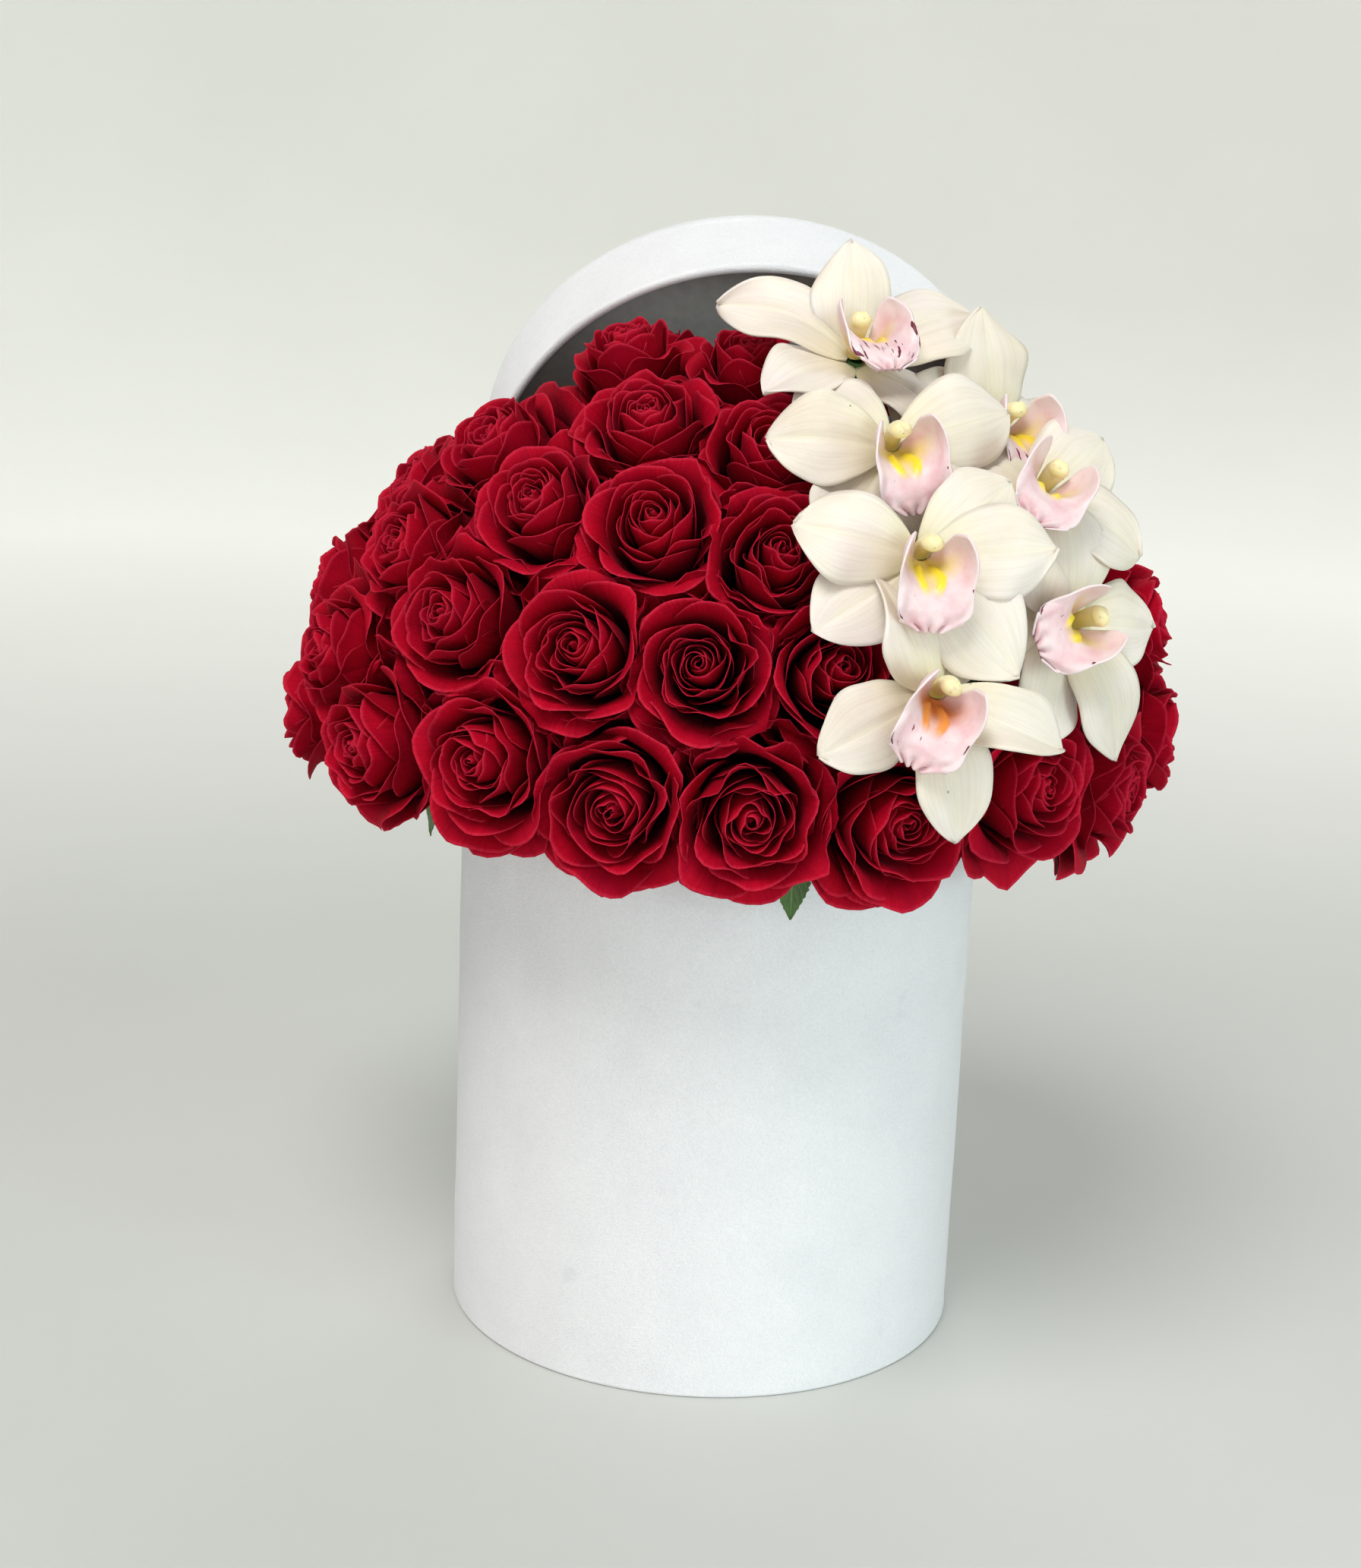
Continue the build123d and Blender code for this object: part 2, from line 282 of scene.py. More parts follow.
def lip_material():
    """Orchid lip: pale pink, burgundy dashes on its front lobe, and a yellow or orange throat and keels."""
    material, shader, add, link = new_material("orchid_lip")
    petal = attribute(add, "petal")
    where = add("ShaderNodeSeparateXYZ", {"Vector": petal})
    kind = add("ShaderNodeSeparateXYZ", {"Vector": attribute(add, "tint")})
    across = compute(add, "ABSOLUTE", where.outputs["X"])
    along = where.outputs["Y"]
    place = object_place(add)
    cloud = noise(add, 130, 3, place)
    pink = ramp(add, cloud, [(0.34, (0.74, 0.47, 0.50)), (0.60, (0.79, 0.62, 0.63))])
    margin = ramp(add, across, [(0.72, 0), (1.0, 0.8)])
    edged = mix(add, margin, pink, (0.82, 0.69, 0.70))
    deep = ramp(add, along, [(0.30, 1), (0.52, 0)])
    inner = ramp(add, across, [(0.30, 1), (0.75, 0)])
    throat = mix(add, kind.outputs["Y"], (0.74, 0.58, 0.16), (0.52, 0.16, 0.045))
    throated = mix(add, mix(add, 1.0, deep, inner, "MULTIPLY"), edged, throat)
    ridge = ramp(add, across, [(0.05, 0.4), (0.12, 1),
                               (0.20, 1), (0.27, 0)])
    stretch = ramp(add, along, [(0.12, 0), (0.24, 1),
                                (0.58, 1), (0.68, 0)])
    keel = mix(add, kind.outputs["Y"], (0.88, 0.66, 0.03), (0.80, 0.28, 0.05))
    keeled = mix(add, mix(add, 1.0, ridge, stretch, "MULTIPLY"), throated, keel)
    painted = dash_mask(add, petal, along, kind.outputs["X"])
    link(mix(add, painted, keeled, (0.15, 0.006, 0.030)), "Base Color")
    grain = noise(add, 1300, 3, place)
    link(bump(add, grain, 0.25, 0.0004), "Normal")
    shader.inputs["Roughness"].default_value = 0.45
    shader.inputs["Subsurface Weight"].default_value = 0.2
    shader.inputs["Subsurface Radius"].default_value = (1.0, 0.6, 0.5)
    shader.inputs["Subsurface Scale"].default_value = 0.002
    return material


def foam_material(name, dark, light):
    """Floral foam: fine open pores and crumbs."""
    material, shader, add, link = new_material(name)
    place = object_place(add)
    pores = add("ShaderNodeTexVoronoi", {"Vector": place, "Scale": 900.0}).outputs["Distance"]
    cloud = noise(add, 70, 5, place)
    tone = ramp(add, cloud, [(0.30, dark), (0.70, light)])
    shade = ramp(add, pores, [(0.05, 0.45), (0.45, 1)])
    link(mix(add, 0.8, tone, shade, "MULTIPLY"), "Base Color")
    link(bump(add, pores, 0.8, 0.0006), "Normal")
    shader.inputs["Roughness"].default_value = 0.95
    shader.inputs["Specular IOR Level"].default_value = 0.15
    return material


def leaf_material():
    """Rose leaf: dark green with pale side veins, from its own leaf coordinates."""
    material, shader, add, link = new_material("leaf")
    petal = attribute(add, "petal")
    where = add("ShaderNodeSeparateXYZ", {"Vector": petal})
    across = compute(add, "ABSOLUTE", where.outputs["X"])
    slant = compute(add, "MULTIPLY_ADD", across, -0.30, where.outputs["Y"])
    beat = compute(add, "MULTIPLY", slant, 52.0)
    wave = compute(add, "SINE", beat)
    side_veins = ramp(add, wave, [(0.80, 0), (1.0, 0.5)])
    midrib = ramp(add, across, [(0.02, 0.8), (0.09, 0)])
    place = object_place(add)
    cloud = noise(add, 110, 4, place)
    body = ramp(add, cloud, [(0.30, (0.030, 0.085, 0.008)), (0.70, (0.075, 0.190, 0.020))])
    veined = mix(add, side_veins, body, (0.10, 0.22, 0.05))
    link(mix(add, midrib, veined, (0.14, 0.27, 0.07)), "Base Color")
    link(bump(add, wave, 0.25, 0.0003), "Normal")
    shader.inputs["Roughness"].default_value = 0.42
    return material


def plain_material(name, dark, light, scale, roughness):
    """A mottled material between two colours, with a fine relief."""
    material, shader, add, link = new_material(name)
    place = object_place(add)
    pattern = noise(add, scale, 5, place)
    link(ramp(add, pattern, [(0.32, dark), (0.68, light)]), "Base Color")
    fine = noise(add, scale * 6, 3, place)
    link(bump(add, fine, 0.2, 0.0004), "Normal")
    shader.inputs["Roughness"].default_value = roughness
    return material


# ---------------------------------------------------------------- mesh helpers

def smooth(low, high, value):
    x = np.clip((value - low) / (high - low), 0, 1)
    return x * x * (3 - 2 * x)


def curve(s, stations, values):
    """A smooth curve through values at stations, read at every s."""
    fine = np.linspace(stations[0], stations[-1], 201)
    rough = np.interp(fine, stations, values)
    kernel = np.hanning(17)
    padded = np.pad(rough, 8, mode="reflect", reflect_type="odd")
    return np.interp(s, fine, np.convolve(padded, kernel / kernel.sum(), mode="valid"))


def blend_table(t, table):
    """Reads a value at t from (t, value) pairs."""
    return float(np.interp(t, [pair[0] for pair in table], [pair[1] for pair in table]))


def sheet(points, thickness):
    """A closed thin sheet over a grid of points: its vertices, faces, and the grid place of each vertex."""
    rows, columns, _ = points.shape
    across = np.gradient(points, axis=1)
    along = np.gradient(points, axis=0)
    normal = np.cross(across, along)
    normal /= np.linalg.norm(normal, axis=2, keepdims=True) + 1e-12
    half = 0.5 * np.broadcast_to(thickness, (rows, columns))[..., None]
    front = (points + normal * half).reshape(-1, 3)
    back = (points - normal * half).reshape(-1, 3)
    index = np.arange(rows * columns).reshape(rows, columns)
    quads = np.stack([index[:-1, :-1], index[:-1, 1:], index[1:, 1:], index[1:, :-1]], axis=-1).reshape(-1, 4)
    other = quads[:, ::-1] + rows * columns
    loop = np.concatenate([index[0, :-1], index[:-1, -1], index[-1, :0:-1], index[:0:-1, 0]])
    following = np.roll(loop, -1)
    rim = np.stack([following, loop, loop + rows * columns, following + rows * columns], axis=-1)
    return np.concatenate([front, back]), np.concatenate([quads, other, rim])


def both_sides(place):
    """The leaf coordinates of a sheet's grid, for the vertices of its front and then its back."""
    return np.tile(place.reshape(-1, 3), (2, 1))


def tube_faces(rings, sides):
    """The side faces of a tube whose vertices come ring by ring."""
    index = np.arange(rings * sides).reshape(rings, sides)
    after = np.roll(index, -1, axis=1)
    return np.stack([index[:-1], after[:-1], after[1:], index[1:]], axis=-1).reshape(-1, 4)


def make_object(name, vertices, faces, materials, attributes=None, face_materials=None):
    """A smooth-shaded object from arrays, with float or vector point attributes."""
    mesh = bpy.data.meshes.new(name)
    mesh.from_pydata(vertices.tolist(), [], faces.tolist())
    for key, values in (attributes or {}).items():
        if values.ndim == 2:
            mesh.attributes.new(key, "FLOAT_VECTOR", "POINT").data.foreach_set("vector", values.ravel())
        else:
            mesh.attributes.new(key, "FLOAT", "POINT").data.foreach_set("value", values)
    mesh.shade_smooth()
    for material in materials:
        mesh.materials.append(material)
    if face_materials is not None:
        mesh.polygons.foreach_set("material_index", face_materials)
    mesh.validate()
    thing = bpy.data.objects.new(name, mesh)
    bpy.context.scene.collection.objects.link(thing)
    return thing


def join_parts(parts):
    """Joins (vertices, faces, {attribute: values}) parts into one set of arrays."""
    start = 0
    vertices, faces, attributes = [], [], {}
    for points, quads, values in parts:
        vertices.append(points)
        faces.append(quads + start)
        start += len(points)
        for key, value in values.items():
            attributes.setdefault(key, []).append(value)
    joined = {key: np.concatenate(values) for key, values in attributes.items()}
    return np.concatenate(vertices), np.concatenate(faces), joined


# ---------------------------------------------------------------- where the flowers stand

def islands(node):
    """The separate solids of a CAD node, each as an array of its points."""
    mesh = frame["nodes"][node].data
    points = np.array([vertex.co for vertex in mesh.vertices])
    keys = {}
    same = np.empty(len(points), int)
    for number, point in enumerate(np.round(points * 1e6).astype(int).tolist()):
        same[number] = keys.setdefault(tuple(point), number)
    parent = list(range(len(points)))

    def root(a):
        while parent[a] != a:
            parent[a] = parent[parent[a]]
            a = parent[a]
        return a

    for polygon in mesh.polygons:
        corners = [root(int(same[corner])) for corner in polygon.vertices]
        for corner in corners[1:]:
            parent[corner] = corners[0]
    groups = {}
    for number in range(len(points)):
        groups.setdefault(root(int(same[number])), []).append(number)
    return [points[members] for members in groups.values()]


def flower_seat(points):
    """From a flower's CAD solid: its direction from the stems' aim, reach to foot and face, and radius."""
    centre = (points.min(axis=0) + points.max(axis=0)) / 2
    way = centre - STEM_AIM
    for _ in range(4):
        way /= np.linalg.norm(way)
        reach = (points - STEM_AIM) @ way
        foot = points[reach < reach.min() + 0.5 * MM].mean(axis=0)
        way = foot - STEM_AIM
    way /= np.linalg.norm(way)
    reach = (points - STEM_AIM) @ way
    off = np.linalg.norm(points - STEM_AIM - np.outer(reach, way), axis=1)
    return {"way": way, "foot": reach.min(), "face": reach.max(), "radius": off.max()}


def bloom_seat(points):
    """From an orchid's CAD solid: its middle, and the way it stands out from the stems' aim."""
    middle = (points.min(axis=0) + points.max(axis=0)) / 2
    for _ in range(5):
        close = np.linalg.norm(points - middle, axis=1) < 11 * MM
        middle = points[close].mean(axis=0)
    way = middle - STEM_AIM
    return {"way": way / np.linalg.norm(way), "middle": middle}


def seat_frame(way):
    """Two directions across a flower: to its right and to its top, seen from outside."""
    side = np.cross([0, 0, 1.0], way)
    if np.linalg.norm(side) < 0.2:
        side = np.cross([0, 1.0, 0], way)
    side /= np.linalg.norm(side)
    return side, np.cross(way, side)


# ---------------------------------------------------------------- roses

PETAL_ROWS = np.array([0, 0.18, 0.36, 0.50, 0.61, 0.70, 0.77, 0.83, 0.88, 0.925, 0.96, 0.985, 1.0])
PETAL_COLUMNS = np.linspace(-1, 1, 17)
PETALS = 29           # petals of the opened head, heart first
GUARD_PETALS = 6      # wide outer petals that wrap the cup and fill the gaps to the neighbours
PETAL_SLACK = 0.8 * MM             # how far a petal of the head may reach into a neighbour's room
GUARD_SLACK = 3.5 * MM
LOWEST_ROW = 0.3                   # roses that look up less steeply than this stand at the dome's foot
HANGING = {"rose_06", "rose_07"}   # roses whose free guard petals stand out a little more than the others'


# A petal's values from the heart (0) to the rim (1) of the head, and for a guard petal (1.2): half the angle
# that it takes up round the head, the radius at its foot, its lean and its lip's curl in degrees and where
# the curl starts, how far its sides roll, its corners' drop, its spiral, its height and its point.
PETAL_SHAPE = {
    "half_angle": [(0, 2.6), (0.25, 1.75), (0.5, 1.3), (0.8, 1.08), (1, 1.0), (1.2, 1.1)],
    "foot": [(0, 0.8), (1, 4.6)],
    "lean": [(0, 8), (0.2, 18), (0.5, 34), (0.75, 49), (0.9, 62), (1, 68), (1.2, 72)],
    "lip": [(0, -30), (0.2, -18), (0.5, -2), (0.7, 20), (0.85, 60), (1, 98), (1.2, 84)],
    "lip_from": [(0, 0.72), (0.5, 0.78), (0.8, 0.72), (1, 0.66), (1.2, 0.60)],
    "roll": [(0, 0), (0.3, 8), (0.6, 26), (1, 55), (1.2, 40)],
    "drop": [(0, 0.05), (0.3, 0.16), (0.6, 0.26), (1, 0.33), (1.2, 0.36)],
    "spiral": [(0, 0.26), (0.4, 0.15), (1, 0.07)],
    "tall": [(0, 0.93), (0.25, 0.96), (0.6, 1.0), (1, 1.03), (1.2, 1.02)],
    "point": [(0.3, 0), (1, 0.03), (1.2, 0.04)],
}


def petal_top(rng, u, shape):
    """The upper edge across a petal, as a share of its height: dropped corners and a point in the middle."""
    point = shape["point"] * rng.uniform(0, 1.6)
    top = 1 - shape["drop"] * np.abs(u) ** 2.6 + point * np.exp(-(u / 0.15) ** 2)
    return top + 0.012 * np.sin(u * rng.uniform(5, 9) + rng.uniform(0, 6))


def petal_ripple(rng, u):
    """Slight waves across a petal's lip, as an angle."""
    wave = rng.normal(0, radians(9), 3)
    return wave[0] * np.sin(3.1 * u + wave[1] * 20) + wave[2] * np.sin(6.3 * u + wave[0] * 30)


def petal(rng, t, turn, length, shift=(0, 0)):
    """One petal of a head standing on the origin: t is 0 at the heart, 1 at the head's rim, more for a guard.

    The heart's petals lean over by shift, in millimetres, which opens a deep gap on the other side."""
    u, s = np.meshgrid(PETAL_COLUMNS, PETAL_ROWS)
    shape = {name: blend_table(t, table) for name, table in PETAL_SHAPE.items()}
    lean = radians(shape["lean"] + rng.normal(0, 1.0))
    lip = radians(shape["lip"] + rng.normal(0, 7))
    lip_from = shape["lip_from"] + rng.normal(0, 0.015)
    tall = length * shape["tall"] * (1 + rng.normal(0, 0.012))
    v = s * petal_top(rng, u, shape)
    angle = lean * (1 - np.clip(v, 0, 1)) ** 1.7
    angle = angle + lip * smooth(lip_from, 1.04, v)
    angle = angle + radians(shape["roll"]) * np.abs(u) ** 3 * smooth(0.45, 0.95, v)
    angle = angle + petal_ripple(rng, u) * smooth(0.6, 1.0, v) * (0.3 + t)
    step = np.diff(v, axis=0, prepend=0 * v[:1]) * tall
    middle = angle.copy()
    middle[1:] = 0.5 * (angle[1:] + angle[:-1])
    radius = shape["foot"] + np.cumsum(np.sin(middle) * step, axis=0)
    height = np.cumsum(np.cos(middle) * step, axis=0)
    radius = np.maximum(radius, 0.35) * (1 + shape["spiral"] * u)
    around = turn + shape["half_angle"] * u * (0.55 + 0.45 * smooth(0, 0.6, s)) + 0.10 * s
    points = np.stack([radius * np.cos(around), radius * np.sin(around), height], axis=-1)
    points[..., :2] += np.asarray(shift) * (1 - smooth(0.22, 0.62, t)) * smooth(0.1, 0.8, v)[..., None]
    # How much the rim is lightened, as a painted sheen highlight along the petal's top edge.
    rim = smooth(0.945, 1.0, s) * (1 - 0.75 * smooth(0.75, 1.0, np.abs(u)))
    thickness = 0.42 - 0.26 * smooth(0.86, 1.0, s)
    return points, thickness, np.stack([u * shape["half_angle"], v, 0 * u + t], axis=-1), rim


def head_petals(rng, length, start):
    """The petals of the opened head, in a spiral from the heart to the rim."""
    shift = np.array([rng.normal(0, 0.8), rng.uniform(0.3, 2.2)])
    grids = []
    for number in range(PETALS):
        t = (number / (PETALS - 1)) ** 0.90
        turn = start + number * GOLDEN_ANGLE + rng.normal(0, 0.10)
        grids.append(petal(rng, t, turn, length, shift))
    return grids


def guard_spread(rng, seat, outward, hangs):
    """How wide a guard petal stands beside the head: wide where a neighbour stands, closer where it has room.

    keep_in_cell presses the wide ones back. Below the lowest roses they all lie close."""
    below_all = seat["way"][2] < LOWEST_ROW and outward[2] < -0.35
    crowded = not below_all and any(outward @ away > cos(radians(48)) for away, _ in seat["walls"])
    if crowded:
        return rng.uniform(1.15, 1.4)
    return rng.uniform(0.90, 1.02) + 0.13 * hangs


def rose_parts(rng, seat, hangs):
    """The petals of one rose, each kept out of its neighbours' rooms."""
    length = (seat["face"] - seat["foot"]) / MM
    start = rng.uniform(0, 2 * pi)
    grids = head_petals(rng, length, start)
    widest = max(np.hypot(points[..., 0], points[..., 1])[PETAL_ROWS > 0.7].mean() for points, *_ in grids)
    highest = max(points[..., 2].max() for points, *_ in grids)
    across = seat["radius"] / MM * 1.10 / widest
    upwards = (length + 0.5) / highest
    side, over = seat_frame(seat["way"])
    turn = np.stack([side, over, seat["way"]])
    stretch = [[across, across, upwards]] * PETALS
    for number in range(GUARD_PETALS):
        bearing = start + (number + 0.5) * 2 * pi / GUARD_PETALS + rng.normal(0, 0.2)
        grids.append(petal(rng, 1.2, bearing, length))
        wide = across * guard_spread(rng, seat, side * cos(bearing) + over * sin(bearing), hangs)
        stretch.append([wide, wide, upwards * rng.uniform(0.80, 0.92)])
    parts = []
    for number, ((points, thickness, place, rim), scale) in enumerate(zip(grids, stretch)):
        local = points * scale * MM
        world = STEM_AIM + seat["way"] * seat["foot"] + local @ turn
        world = keep_in_cell(world, seat, PETAL_SLACK if number < PETALS else GUARD_SLACK)
        vertices, faces = sheet(world, thickness * MM)
        # edge carries the strength of the painted rim highlight.
        values = {"petal": both_sides(place), "edge": np.tile(rim.ravel(), 2)}
        parts.append((vertices, faces, values))
    return parts


def keep_in_cell(points, seat, slack):
    """Presses points back where they would cross into a neighbour's room, or slack beyond that."""
    soft = 2.6 * MM
    for away, side in seat["walls"]:
        ripples = 1.5 * np.sin(points @ [170.0, 240.0, 210.0])
        ripples = ripples + 0.9 * np.sin(points @ [-390.0, 310.0, 430.0] + 1)
        past = (points - STEM_AIM) @ away + soft - slack - side * ripples * MM
        pressed = np.where(past > 0, soft * 1.15 * np.tanh(past / soft / 1.15), past)
        points = points + (pressed - past)[..., None] * away
    return points


def find_walls(seats, reach=radians(32)):
    """Gives every flower the directions to its neighbours' rooms, and its side of each wavy wall."""
    for number, seat in enumerate(seats):
        seat["walls"] = []
        for other_number, other in enumerate(seats):
            gap = np.arccos(np.clip(seat["way"] @ other["way"], -1, 1))
            if other is not seat and gap < reach:
                away = other["way"] - seat["way"]
                seat["walls"].append((away / np.linalg.norm(away), 1 if number < other_number else -1))


def rose_seats():
    """The seats of every rose, by CAD node."""
    nodes = sorted(name for name in frame["nodes"] if name.startswith("rose_") and name[5:].isdigit())
    nodes += sorted(name for name in frame["nodes"] if name.startswith("roses_"))
    seats = {node: [flower_seat(points) for points in islands(node)] for node in nodes}
    find_walls([seat for group in seats.values() for seat in group])
    return seats


def build_roses(seats, material):
    for number, node in enumerate(seats):
        rng = np.random.default_rng(100 + number)
        parts = []
        for seat in seats[node]:
            parts += rose_parts(rng, seat, node in HANGING)
        vertices, faces, attributes = join_parts(parts)
        head = make_object(node + "_petals", vertices, faces, [material], attributes)
        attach(head, "insert")
        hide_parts(node)


# ---------------------------------------------------------------- hips, sepals and leaves

def lathe(profile, sides):
    """A closed round solid about +Z through (radius, height) points, from its foot to its top."""
    angles = np.arange(sides) * 2 * pi / sides
    circle = np.stack([np.cos(angles), np.sin(angles), 0 * angles], axis=-1)
    rings = [circle * r + [0, 0, z] for r, z in profile]
    return np.concatenate(rings), tube_faces(len(profile), sides)


def blade(length, width, bend_from, bend_to, fold, rows=15, columns=9, wave=0.0):
    """A pointed leaf along +Y from the origin, bending from one slope to another, folded at its midrib."""
    u, s = np.meshgrid(np.linspace(-1, 1, columns), np.linspace(0, 1, rows))
    half = 0.5 * width * np.maximum(np.sin(pi * s ** 0.8) ** 0.9, 0.03)
    slope = bend_from + (bend_to - bend_from) * s
    step = np.diff(s, axis=0, prepend=0) * length
    y = np.cumsum(np.cos(slope) * step, axis=0)
    z = np.cumsum(np.sin(slope) * step, axis=0)
    x = half * u * cos(fold)
    z = z + half * np.abs(u) * sin(fold) + wave * np.sin(s * 21) * np.abs(u) ** 2
    return np.stack([x, y, z], axis=-1), np.stack([u, s, 0 * u], axis=-1)


def turned(points, right, up, out, origin):
    """Points given by their own right, up and out directions, in metres from origin."""
    return origin + points @ np.stack([right, up, out])


# A hip's radius and height from the foot of the petals, in mm.
HIP_OUTLINE = [(0.4, -12.5), (2.7, -12), (3.4, -11), (4.6, -9), (5.4, -6), (5.5, -3.5), (4.6, -1), (3.6, 0),
               (0.4, 0.6)]


def hip_parts(rng, seat):
    """The green hip under a rose, with five pointed sepals that bend back down."""
    side, over = seat_frame(seat["way"])
    foot = STEM_AIM + seat["way"] * (seat["foot"] + 1.0 * MM)
    vertices, faces = lathe(HIP_OUTLINE, 16)
    place = np.stack([0.5 + 0 * vertices[:, 0], vertices[:, 2] / 12, 0 * vertices[:, 0]], axis=-1)
    parts = [(turned(vertices * MM, side, over, seat["way"], foot), faces, {"petal": place})]
    for number in range(5):
        angle = number * 2 * pi / 5 + rng.normal(0, 0.15)
        outward = side * cos(angle) + over * sin(angle)
        across = np.cross(outward, seat["way"])
        length, droop = rng.uniform(17, 23), radians(rng.uniform(-125, -80))
        points, place = blade(length, 5.5, radians(20), droop, radians(14), 13, 7)
        root = foot + (outward * 3.6 - seat["way"]) * MM
        world = turned(points * MM, across, outward, seat["way"], root)
        vertices, faces = sheet(world, 0.45 * MM)
        parts.append((vertices, faces, {"petal": both_sides(place)}))
    return parts


def build_hips(seats, material):
    rng = np.random.default_rng(7)
    parts = []
    for group in seats.values():
        for seat in group:
            parts += hip_parts(rng, seat)
    vertices, faces, attributes = join_parts(parts)
    hips = make_object("rose_hips_and_sepals", vertices, faces, [material], attributes)
    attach(hips, "insert")
    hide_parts("rose_hips")


def build_leaves(material):
    """Each CAD leaf becomes a toothed, veined leaf that hangs in the same place."""
    parts = []
    for points in islands("rose_leaves"):
        top = points[points[:, 2] > points[:, 2].max() - 3 * MM].mean(axis=0)
        tip = points[points[:, 2] < points[:, 2].min() + 1 * MM].mean(axis=0)
        length = np.linalg.norm(tip - top)
        down = (tip - top) / length
        outward = np.array([top[0], top[1], 0]) / np.hypot(top[0], top[1])
        outward -= down * (outward @ down)
        outward /= np.linalg.norm(outward)
        across = np.cross(down, outward)
        shape, place = blade(length / MM, 15, radians(7), radians(-9), radians(12), 41, 15, 0.25)
        teeth = 1 + 0.07 * (np.sin(place[..., 1] * 95) * (np.abs(place[..., 0]) > 0.99))
        shape[..., 0] *= teeth
        vertices, faces = sheet(turned(shape * MM, across, down, outward, top), 0.35 * MM)
        parts.append((vertices, faces, {"petal": both_sides(place)}))
    vertices, faces, attributes = join_parts(parts)
    leaves = make_object("rim_leaves", vertices, faces, [material], attributes)
    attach(leaves, "insert")
    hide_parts("rose_leaves")


# ---------------------------------------------------------------- orchids

TEPAL_LENGTH = 42.0
TEPAL_WIDTH = 29.0
TEPAL_ANGLES = {"dorsal": 0, "petal_right": 72, "sepal_right": 144, "sepal_left": -144, "petal_left": -72}

# For each bloom: how far it turns right and bows down from the CAD's direction and rolls clockwise, in
# degrees; its heart's move right, up and deeper, in mm; its burgundy spots and orange throat, each 0 to 1;
# and what is particular to single tepals: own turn clockwise, lean back, twist and fold along the midrib,
# in degrees, and own length and width beside the others'.
BLOOMS = {
    "orchid_1": {
        "pose": (-14, 0, -6), "move": (-1, 1, 8), "spots": 1.0, "orange": 0.1,
        "tepals": {
            "dorsal": {"turn": 8, "lean": -46},
            "petal_right": {"turn": 6, "lean": -20, "long": 1.2, "wide": 1.2},
            "petal_left": {"turn": 20, "twist": 30, "long": 1.2, "fold": 26, "wide": 0.9},
            "sepal_left": {"turn": 30, "fold": 16},
        },
    },
    "orchid_2": {
        "pose": (-12, 20, -8), "move": (0, 6, 8), "spots": 0.50, "orange": 0,
        "tepals": {"dorsal": {"turn": -30, "lean": 26}, "petal_right": {"turn": 6, "long": 1.1}},
    },
    "orchid_3": {
        "pose": (-10, 12, 3), "move": (-3, 4, 6), "spots": 0.50, "orange": 0,
        "tepals": {
            "dorsal": {"turn": 50, "lean": 6},
            "petal_right": {"turn": 12, "long": 1.12},
            "petal_left": {"turn": -4},
            "sepal_left": {"turn": 20},
            "sepal_right": {"turn": -10, "lean": -12, "long": 1.15, "wide": 1.2},
        },
    },
    "orchid_4": {
        "pose": (-40, 10, 0), "move": (-25, 13, 12), "spots": 1.0, "orange": 0.1,
        "tepals": {
            "dorsal": {"turn": -6, "lean": -34, "long": 1.08, "wide": 1.25},
            "petal_right": {"turn": 14, "lean": 24},
        },
    },
    "orchid_5": {
        "pose": (-14, -8, 45), "move": (-4, 2, 8), "spots": 0.35, "orange": 0,
        "tepals": {
            "dorsal": {"turn": 16, "lean": -8, "long": 1.05, "wide": 1.15},
            "petal_left": {"turn": -10, "lean": 34, "long": 0.85},
            "petal_right": {"turn": 6, "long": 1.1},
        },
    },
    "orchid_6": {
        "pose": (-16, 0, 72), "move": (-2, 15, 8), "spots": 0.55, "orange": 0,
        "tepals": {"petal_right": {"turn": 14, "long": 1.25, "fold": 12}, "dorsal": {"turn": 22, "lean": 14}},
    },
    "orchid_7": {
        "pose": (-10, 0, 27), "move": (-2, 9, 7), "spots": 0.65, "orange": 1.0,
        "tepals": {
            "dorsal": {"turn": 4, "lean": 38},
            "petal_left": {"turn": 22, "lean": 10, "twist": -34, "fold": 20},
            "petal_right": {"turn": 16, "lean": 0, "twist": 42, "long": 1.15, "fold": 34},
            "sepal_right": {"turn": -6, "long": 1.12, "fold": 14},
        },
    },
}
NO_CHANGE = {"turn": 0, "lean": 0, "twist": 0, "fold": 0, "long": 1, "wide": 1}


def tepal_relief(rng, u, s, half, sepal, fold):
    """How far a tepal stands off its midrib: vaulted, ruffled at its sides, keeled and folded."""
    vault = rng.uniform(1.8, 5.0) if sepal else rng.uniform(0.6, 4.4)
    keel = 0.8 * np.exp(-(u / 0.10) ** 2) * smooth(0.02, 0.2, s) * (1 - smooth(0.8, 1.0, s))
    ruffle = rng.uniform(1.0, 2.6)
    ruffle = ruffle * np.sin(s * rng.uniform(7, 12) + rng.uniform(0, 6) + 1.5 * u) * np.abs(u) ** 2
    rise = ruffle * smooth(0.15, 0.6, s) - vault * u ** 2 * np.sin(pi * np.clip(s, 0, 1) ** 0.9) ** 0.8 - keel
    return rise + half * (np.sqrt(u ** 2 + 0.02) - 0.14) * np.sin(fold)


